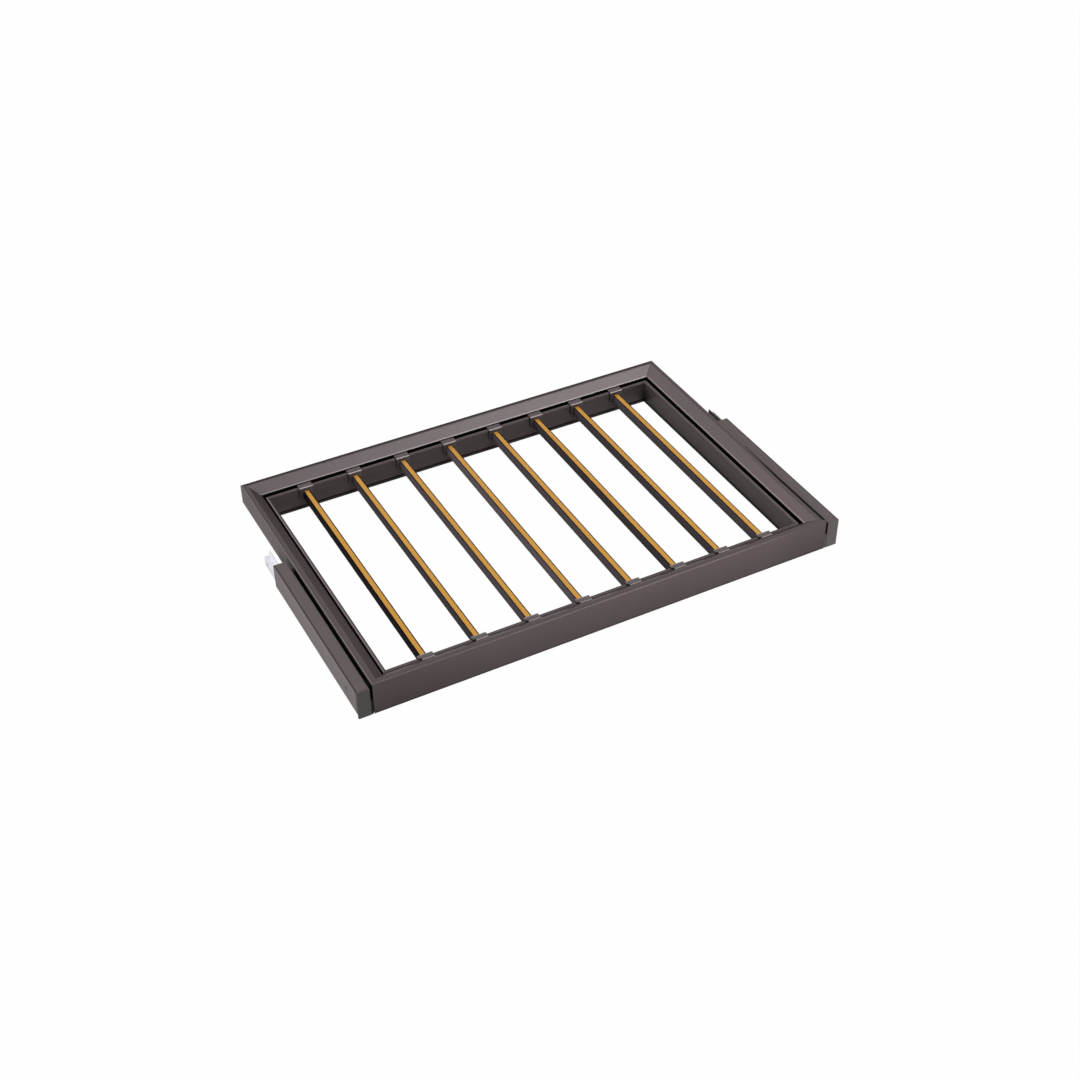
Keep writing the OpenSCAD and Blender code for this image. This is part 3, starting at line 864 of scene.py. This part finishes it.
@dataclass(frozen=True)
class PlatedSteel(Finish):
    """Plated rolled steel: streaks along the roll and small spangles."""

    roughness: float = 0.3
    cool_tint: Colour = (0.86, 0.89, 0.94)
    warm_tint: Colour = (1.05, 1.03, 0.99)
    edge_radius: float = 0.2
    relief_depth: float = 0.008

    def build(self) -> bpy.types.Material:
        """Makes the material.

        Returns:
            The material.
        """
        surface = Surface(self.name)
        streak = surface.noise(size=0.8, detail=3.0, scale=(1.0, 0.01, 1.0))
        patch = surface.noise(size=7.0, detail=4.0)
        grain = surface.noise(size=0.25)
        rounded = surface.rounded_edges(self.edge_radius)
        cool = tuple(c * t for c, t in zip(self.colour, self.cool_tint))
        warm = tuple(c * t for c, t in zip(self.colour, self.warm_tint))
        return surface.finish(
            {
                "Base Color": surface.mix(patch * 0.6 + streak * 0.4, cool, warm),
                "Metallic": 1.0,
                "Roughness": self.roughness + (patch - 0.5) * 0.16 + (streak - 0.5) * 0.14,
                "Normal": surface.bump(streak * 0.5 + grain * 0.5, self.relief_depth, rounded),
            }
        )


@dataclass(frozen=True)
class MouldedPlastic(Coat):
    """Moulded plastic with a fine spark-eroded texture."""

    roughness: float = 0.5
    gloss: float = 0.18
    gloss_tint: float = 0.6
    edge_radius: float = 0.5
    relief_depth: float = 0.03

    def build(self) -> bpy.types.Material:
        """Makes the material.

        Returns:
            The material.
        """
        surface = Surface(self.name)
        cloud = surface.noise(size=30.0)
        pebble = surface.noise(size=0.45, detail=3.0, rough=0.6)
        rounded = surface.rounded_edges(self.edge_radius)
        shade = surface.mix(cloud * 0.6 + pebble * 0.4, self.tinted(0.92), self.tinted(1.08))
        shade, _ = self.covered(surface, shade)
        return surface.finish(
            {
                "Base Color": shade,
                "Roughness": self.roughness + (pebble - 0.5) * 0.15,
                "Specular IOR Level": self.gloss,
                "Specular Tint": (self.gloss_tint,) * 3,
                "Normal": surface.bump(pebble, self.relief_depth, rounded),
            }
        )


@dataclass(frozen=True)
class CapPlastic(MouldedPlastic):
    """End cap plastic, painted black as shade where the left cap closes the gap beside the frame.
    """

    web: Strip = Strip(359.3, 363.2)
    web_shade: float = 0.15
    left_shade_tone: float = 0.95
    right_light_gain: float = 0.27

    def covered(self, surface: Surface, shade: bpy.types.NodeSocket) -> Covered:
        """Paints the left web black and tones the right web to the front face, as painted shade.

        Args:
            surface: The finish's nodes.
            shade: The colour so far.

        Returns:
            The colour, and how much of the finish's shine is left.
        """
        x, _, _ = surface.axes()
        web = self.web.inside(abs(x))
        right = x.past(0.0)
        # Painted light: the right cap lighter than the left; painted shade: the webs darker, the
        # left one black.
        side_light_tone = right * self.right_light_gain + self.left_shade_tone
        shade = surface.toned(shade, (1.0 - web * self.web_shade) * side_light_tone)
        return surface.mix(web * (1.0 - right), shade, SHADE_BLACK), 1.0


class Look(Enum):
    """The finishes on the rack."""

    FRAME = RailCoat("frame_coat", (0.105, 0.083, 0.084))
    HOLDER = HolderCoat("holder_coat", (0.14, 0.119, 0.12))
    COVER = CoverCoat("cover_coat", (0.135, 0.112, 0.108), gloss_tint=0.6)
    LEFT_BRACKET = PlatedSteel("bracket_zinc", (0.66, 0.63, 0.67), roughness=0.5)
    # Painted shade: the right bracket is the same part as the left but has a darker coat, as its
    # seen side lies in shade.
    RIGHT_BRACKET = PowderCoat("bracket_coat", (0.17, 0.15, 0.155))
    CAP = CapPlastic("cap_plastic", (0.082, 0.073, 0.073))
    BAR = BarCoat("bar_coat", (0.122, 0.102, 0.104))
    GRIP = GripRubber("grip", (0.69, 0.355, 0.066), shade=(0.59, 0.275, 0.038))
    SLIDE = PlatedSteel("slide_steel", (0.05, 0.05, 0.053), roughness=0.42)
    SCREW = PlatedSteel("screw_steel", (0.58, 0.585, 0.6), roughness=0.24)
    KEY = PlatedSteel("key_metal", (0.6, 0.6, 0.62), roughness=0.55)
    BUMPER = MouldedPlastic("bumper_plastic", (0.018, 0.018, 0.02), roughness=0.45)


Finishes = dict[Look, bpy.types.Material]


def dress(nodes: Iterable[str], material: bpy.types.Material) -> list[str]:
    """Gives CAD nodes a finish.

    Args:
        nodes: The nodes' names.
        material: The finish.

    Returns:
        The names of the dressed pieces.
    """
    dressed = list(nodes)
    for name in dressed:
        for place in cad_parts[name].material_slots:
            place.material = material
    return dressed


def add_object(
    name: str, work: bmesh.types.BMesh, material: bpy.types.Material
) -> bpy.types.Object:
    """Adds an object to the scene.

    Args:
        name: Its name.
        work: Its mesh in metres, which is freed.
        material: Its finish.

    Returns:
        The object.
    """
    mesh = bpy.data.meshes.new(name)
    work.to_mesh(mesh)
    work.free()
    mesh.materials.append(material)
    item = bpy.data.objects.new(name, mesh)
    bpy.context.scene.collection.objects.link(item)
    return item


@dataclass(frozen=True)
class CrossScrew:
    """One screw with a cross recess, drawn with its head's top on z = 0 and its tip below.

    The recess's arms and the dome's radii are shares of the head's diameter, and the recess's
    depth is a share of the head's height.
    """

    head: Head
    shank_d: float
    head_d: float
    head_h: float
    length: float
    sides: int = 40
    rim_edge: float = 0.1
    dome: tuple[tuple[float, float], ...] = ((0.8, 0.0), (0.93, -0.25), (1.0, -0.7))
    pitch: float = 0.9
    thread_depth: float = 0.22
    run_out: float = 0.5
    tip_r: float = 0.3
    tip_taper: float = 1.0
    thread_stop: float = 1.2
    arm: float = 0.29
    arm_half: float = 0.055
    floor_arm: float = 0.13
    floor_half: float = 0.035
    recess_depth: float = 0.62

    def _profile(self) -> list[tuple[float, float]]:
        """Gives the outline of the screw from the head's rim to the tip.

        Returns:
            The radius and height of each ring.
        """
        shank = self.shank_d / 2
        rim = self.head_d / 2
        if self.head is Head.COUNTERSUNK:
            rings = [(rim, 0.0), (rim, -self.rim_edge)]
        else:
            rings = [(rim * share, z) for share, z in self.dome] + [(rim, -self.head_h)]
        rings.append((shank, -self.head_h))
        root = shank - self.thread_depth
        z = -self.head_h - self.run_out
        while z > self.thread_stop - self.length:
            rings += [(shank, z), (root, z - self.pitch / 2)]
            z -= self.pitch
        return rings + [(root, self.tip_taper - self.length), (self.tip_r, -self.length)]

    def _cross(self, reach: float, half: float, z: float) -> list[Vector]:
        """Gives the twelve corners of a cross.

        Args:
            reach: The length of an arm from the middle.
            half: Half the width of an arm.
            z: Its height.

        Returns:
            The corners in turn.
        """
        corners = []
        for quarter in range(4):
            turn = Matrix.Rotation(quarter * math.pi / 2, 3, "Z")
            for x, y in ((reach, -half), (reach, half), (half, half)):
                corners.append(turn @ Vector((x, y, z)))
        return corners

    def _ring(self, radius: float, z: float) -> list[Vector]:
        """Gives the points of one ring around the screw's axis.

        Args:
            radius: The ring's radius.
            z: Its height.

        Returns:
            The points in turn.
        """
        angles = [side * math.tau / self.sides for side in range(self.sides)]
        return [Vector((radius * math.cos(a), radius * math.sin(a), z)) for a in angles]

    def add_to(self, mesh: bmesh.types.BMesh, matrix: Matrix) -> None:
        """Adds the screw to a mesh.

        Args:
            mesh: The mesh that it is added to.
            matrix: Its place in the rack's frame, in metres.
        """
        top = self._cross(self.head_d * self.arm, self.head_d * self.arm_half, 0.0)
        depth = -self.recess_depth * self.head_h
        floor = self._cross(self.head_d * self.floor_arm, self.head_d * self.floor_half, depth)
        loops = [self._ring(radius, z) for radius, z in self._profile()] + [top, floor]
        *rings, mouth, bottom = [
            [mesh.verts.new(matrix @ (point * MM)) for point in loop] for loop in loops
        ]
        for upper, lower in zip(rings, rings[1:]):
            for side in range(self.sides):
                after = (side + 1) % self.sides
                mesh.faces.new((upper[side], lower[side], lower[after], upper[after]))
        mesh.faces.new(rings[-1])
        edges = []
        for loop in (mouth, rings[0]):
            for start, end in zip(loop, loop[1:] + loop[:1]):
                edges.append(mesh.edges.get((start, end)) or mesh.edges.new((start, end)))
        for side in range(len(mouth)):
            after = (side + 1) % len(mouth)
            mesh.faces.new((mouth[side], mouth[after], bottom[after], bottom[side]))
        mesh.faces.new(bottom)
        bmesh.ops.triangle_fill(mesh, edges=edges, use_beauty=True)


# The middle of each screw head's top, and the way that the head faces.
Heads = list[tuple[Vector, Vector]]


@dataclass(frozen=True)
class ScrewSet:
    """Several equal screws of the rack that are one piece and stand for one CAD node."""

    name: str
    node: str
    screw: CrossScrew
    turn: float

    def build(self, heads: Heads, material: bpy.types.Material) -> str:
        """Adds the screws to the rack, each recess turned on from the last.

        Args:
            heads: The screws' heads.
            material: Their finish.

        Returns:
            The piece's name.
        """
        work = bmesh.new()
        for number, (point, direction) in enumerate(heads):
            tilt = direction.to_track_quat("Z", "Y").to_matrix().to_4x4()
            turn = Matrix.Rotation(math.radians(self.turn * number), 4, "Z")
            self.screw.add_to(work, Matrix.Translation(point * MM) @ tilt @ turn)
        bmesh.ops.recalc_face_normals(work, faces=work.faces)
        piece = add_object(self.name, work, material)
        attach(piece, "rack")
        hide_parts(self.node)
        return self.name


@dataclass
class RackFrame:
    """The four mitred rails with their corner keys and screws."""

    finishes: Finishes
    rails: tuple[str, ...] = ("front_rail", "rear_rail", "left_rail", "right_rail")
    screw_from_corner: float = 48.0
    screw_across: float = 23.5
    screw_sink: float = 0.1
    screws: ScrewSet = ScrewSet(
        name="corner_screw_set",
        node="corner_screws",
        screw=CrossScrew(Head.COUNTERSUNK, shank_d=3.5, head_d=6.7, head_h=1.6, length=12.0),
        turn=17.0,
    )

    def _screw_heads(self) -> Heads:
        """Gives the corner screws, two to a corner, heads down.

        Returns:
            The screws' heads.
        """
        near, far = self.screw_across, self.screw_from_corner
        heads = []
        for sx, sy, (across, along) in product((-1, 1), (-1, 1), ((far, near), (near, far))):
            x, y = sx * (HALF_WIDTH - across), sy * (HALF_DEPTH - along)
            heads.append((Vector((x, y, self.screw_sink)), Vector((0, 0, -1))))
        return heads

    def build(self) -> list[str]:
        """Dresses the rails and adds the corner screws.

        Returns:
            The names of the pieces.
        """
        names = dress(self.rails, self.finishes[Look.FRAME])
        names += dress(["corner_keys"], self.finishes[Look.KEY])
        names.append(self.screws.build(self._screw_heads(), self.finishes[Look.SCREW]))
        return names


@dataclass
class TrouserBars:
    """The bars with their grip strips, holders and screws."""

    finishes: Finishes

    def build(self) -> list[str]:
        """Dresses the bars and what belongs to them.

        Returns:
            The names of the pieces.
        """
        names = dress([f"trouser_bar_{n}" for n in BAR_NUMBERS], self.finishes[Look.BAR])
        names += dress([f"grip_strip_{n}" for n in BAR_NUMBERS], self.finishes[Look.GRIP])
        for end in ("front", "rear"):
            names += dress([f"{end}_holder_{n}" for n in BAR_NUMBERS], self.finishes[Look.HOLDER])
        return names + dress(["bar_screws"], self.finishes[Look.SCREW])


@dataclass
class Slides:
    """The two ball slides with their brackets, covers, end caps and bumpers."""

    finishes: Finishes
    slide_z: float = 26.0
    slide_screws_at: tuple[float, ...] = (57.0, 157.0, 248.0)
    member_sheet: float = 1.2
    foot_t: float = 6.0
    foot_mid: float = 14.75
    foot_screw_z: tuple[float, ...] = (26.0, 37.0)
    screw_sink: float = 0.1
    slide_screws: ScrewSet = ScrewSet(
        name="slide_screw_set",
        node="slide_screws",
        screw=CrossScrew(Head.PAN, shank_d=4.0, head_d=7.6, head_h=2.0, length=8.0),
        turn=23.0,
    )
    cap_screws: ScrewSet = ScrewSet(
        name="cap_screw_set",
        node="end_cap_screws",
        screw=CrossScrew(Head.COUNTERSUNK, shank_d=3.5, head_d=6.7, head_h=1.6, length=10.8),
        turn=23.0,
    )

    def _screw_heads(
        self, from_front: Iterable[float], heights: Iterable[float], out: float
    ) -> Heads:
        """Gives screws on both sides whose heads face the wardrobe sides.

        Args:
            from_front: Their distances from the front.
            heights: Their heights, each at every distance.
            out: How far the heads stand outside the frame.

        Returns:
            The screws' heads.
        """
        heads = []
        for sx, distance, z in product((-1, 1), from_front, heights):
            point = Vector((sx * (HALF_WIDTH + out), distance - HALF_DEPTH, z))
            heads.append((point, Vector((sx, 0, 0))))
        return heads

    def build(self) -> list[str]:
        """Dresses the slides and adds their screws.

        Returns:
            The names of the pieces.
        """
        finishes = self.finishes
        steel = [f"{h.value}_{p}_member" for h in Hand for p in ("inner", "middle", "outer")]
        steel += [f"{h.value}_{p}_cage" for h in Hand for p in ("inner", "outer")]
        names = dress(steel, finishes[Look.SLIDE])
        names += dress([f"{Hand.LEFT.value}_slide_bracket"], finishes[Look.LEFT_BRACKET])
        # The right bracket's darker coat is painted shade.
        names += dress([f"{Hand.RIGHT.value}_slide_bracket"], finishes[Look.RIGHT_BRACKET])
        names += dress(["slide_rivets"], finishes[Look.SCREW])
        names += dress([f"{h.value}_cover" for h in Hand], finishes[Look.COVER])
        names += dress([f"{h.value}_end_cap" for h in Hand], finishes[Look.CAP])
        names += dress([f"{h.value}_bumper" for h in Hand], finishes[Look.BUMPER])
        out = self.member_sheet + self.slide_screws.screw.head_h
        heads = self._screw_heads(self.slide_screws_at, [self.slide_z], out)
        names.append(self.slide_screws.build(heads, finishes[Look.SCREW]))
        out = self.foot_t - self.screw_sink
        heads = self._screw_heads([self.foot_mid], self.foot_screw_z, out)
        names.append(self.cap_screws.build(heads, finishes[Look.SCREW]))
        return names


@dataclass(frozen=True)
class Softbox:
    """One rectangular studio light, with its distance and size in metres."""

    name: str
    direction: Triple
    distance: float
    size: tuple[float, float]
    power: float
    colour: Colour = WHITE

    def build(self, target: Vector) -> None:
        """Adds the light.

        Args:
            target: The point that it shines at, in metres.
        """
        lamp = bpy.data.lights.new(self.name, "AREA")
        lamp.shape = "RECTANGLE"
        lamp.size, lamp.size_y = self.size
        lamp.energy = self.power
        lamp.color = self.colour
        light = bpy.data.objects.new(self.name, lamp)
        away = Vector(self.direction).normalized()
        tilt = away.to_track_quat("Z", "Y").to_matrix().to_4x4()
        light.matrix_world = Matrix.Translation(target + away * self.distance) @ tilt
        bpy.context.scene.collection.objects.link(light)


@dataclass
class Studio:
    """Camera, floor, world and lights, with places in metres and angles in degrees."""

    target: Triple = (0.0, 0.0, 0.03)
    camera_at: Triple = (-0.88915, -1.71403, 1.53194)
    camera_heading: float = 27.88629
    camera_tilt: float = -38.77136
    camera_roll: float = -0.46666
    lens: float = 54.9945
    sensor: float = 36.0
    clip_start: float = 0.05
    ambient: float = 0.02
    floor_tone: float = 0.4
    floor_white: float = 0.99
    floor_half: float = 6.0
    floor_drop: float = 0.0006
    fibre_size: float = 4.0
    fibre_shade: float = 0.97
    lights: tuple[Softbox, ...] = (
        Softbox("top_light", (0.365, -0.441, 0.819), 2.6, (2.4, 0.8), 54.0),
        Softbox("left_light", (-0.95, -0.1, 0.3), 2.4, (1.4, 1.0), 27.0),
        Softbox("rear_light", (-0.52, 0.689, 0.506), 2.4, (1.8, 0.7), 18.5, (0.93, 1.0, 1.02)),
        Softbox("front_light", (0.45, -0.89, 0.07), 1.7, (0.8, 0.2), 10.0),
    )

    def _add_camera(self) -> None:
        """Puts the camera where the photograph was taken from."""
        data = bpy.data.cameras.new("camera")
        data.sensor_width = self.sensor
        data.lens = self.lens
        data.clip_start = self.clip_start
        camera = bpy.data.objects.new("camera", data)
        heading = Matrix.Rotation(math.radians(-self.camera_heading), 4, "Z")
        tilt = Matrix.Rotation(math.radians(90.0 + self.camera_tilt), 4, "X")
        roll = Matrix.Rotation(math.radians(self.camera_roll), 4, "Z")
        camera.matrix_world = Matrix.Translation(self.camera_at) @ heading @ tilt @ roll
        bpy.context.scene.collection.objects.link(camera)
        bpy.context.scene.camera = camera

    def _seen(self, graph: Graph) -> Socket:
        """Gives 1 where the camera sees a surface, also in gloss or through glass.

        Args:
            graph: The nodes of the world or of the floor.

        Returns:
            The mask.
        """
        paths = graph.add("ShaderNodeLightPath")
        seen = graph.number(paths, "Is Camera Ray")
        for name in ("Is Glossy Ray", "Is Transmission Ray"):
            seen = seen.at_least(graph.number(paths, name))
        return seen

    def _add_world(self) -> None:
        """Makes the world white behind the rack and a soft grey for its light."""
        world = bpy.data.worlds.new("studio")
        world.use_nodes = True
        graph = Graph(world.node_tree)
        kind = "ShaderNodeBackground"
        soft = graph.add(kind, None, {"Color": WHITE, "Strength": self.ambient})
        white = graph.add(kind, None, {"Color": WHITE, "Strength": 1.0})
        inputs = {0: self._seen(graph), 1: soft.outputs[0], 2: white.outputs[0]}
        both = graph.add("ShaderNodeMixShader", None, inputs)
        graph.add("ShaderNodeOutputWorld", None, {"Surface": both.outputs[0]})
        bpy.context.scene.world = world

    def _floor_paper(self) -> bpy.types.Material:
        """Makes the floor's paper, which the camera sees as white with a faint shadow.

        Returns:
            The material.
        """
        surface = Surface("floor_paper")
        tone = (self.floor_tone,) * 3
        shade = (self.floor_tone * self.fibre_shade,) * 3
        fibre = surface.noise(size=self.fibre_size, detail=3.0)
        paper_shade = surface.mix(fibre, shade, tone)
        paper = surface.add("ShaderNodeBsdfDiffuse", None, {"Color": paper_shade})
        glow = surface.add("ShaderNodeEmission", None, {"Color": WHITE, "Strength": 1.0})
        seen = self._seen(surface) * self.floor_white
        inputs = {0: seen, 1: paper.outputs[0], 2: glow.outputs[0]}
        both = surface.add("ShaderNodeMixShader", None, inputs)
        surface.add("ShaderNodeOutputMaterial", None, {"Surface": both.outputs[0]})
        return surface.material

    def _add_floor(self) -> None:
        """Adds the pale floor."""
        work = bmesh.new()
        bmesh.ops.create_grid(work, x_segments=8, y_segments=8, size=self.floor_half)
        floor = add_object("floor", work, self._floor_paper())
        floor.location.z = -self.floor_drop

    def build(self) -> list[str]:
        """Builds the studio.

        Returns:
            The names of what it holds.
        """
        self._add_camera()
        self._add_world()
        self._add_floor()
        for light in self.lights:
            light.build(Vector(self.target))
        bpy.context.scene.view_settings.view_transform = "Standard"
        return ["camera", "world", "floor", *(light.name for light in self.lights)]


def corners(box: Any) -> list[list[float]]:
    """Gives a box as plain lists of numbers."""
    return [[float(value) for value in corner] for corner in box]


def main() -> None:
    """Builds the studio and the rack's looks in order and reports each piece."""
    logging.basicConfig(level=logging.INFO, format="%(name)s: %(message)s")
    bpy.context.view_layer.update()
    finishes = {look: look.value.build() for look in Look}
    for group in (Studio(), RackFrame(finishes), TrouserBars(finishes), Slides(finishes)):
        for piece in group.build():
            LOG.info("%s: %s", type(group).__name__, piece)


if __name__ == "__main__":
    main()
